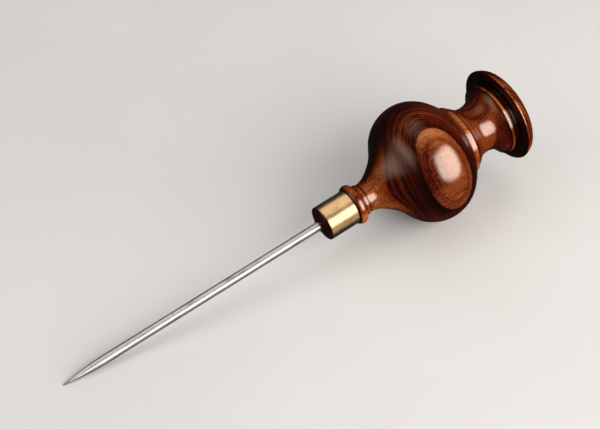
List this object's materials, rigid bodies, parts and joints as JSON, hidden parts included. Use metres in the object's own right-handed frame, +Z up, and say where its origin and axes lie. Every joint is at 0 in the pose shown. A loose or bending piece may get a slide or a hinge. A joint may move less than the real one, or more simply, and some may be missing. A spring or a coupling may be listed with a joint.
{
  "type": "scratch awl",
  "caption": "Scratch awl: steel blade with an ogival point, brass ferrule and a turned hardwood handle with a round bulb, narrow waist and domed pommel.",
  "frame": {"origin": "bottom centre of the box around the awl as it lies at rest, point and bulb touching z = 0", "axes": "+X from the point toward the pommel along the bench, +Z up; the tool's own axis rises toward the pommel by 8.61 degrees in the XZ plane"},
  "size_m": [0.1884, 0.045, 0.0452],
  "materials": {
    "blade_steel": "polished carbon steel with fine lengthwise scratches",
    "ferrule_brass": "worn satin brass",
    "handle_wood": "glossy red-brown hardwood with dark growth lines"
  },
  "bodies": {
    "root": {"blade": "blade_steel", "ferrule": "ferrule_brass", "handle": "handle_wood"}
  },
  "joints": []
}
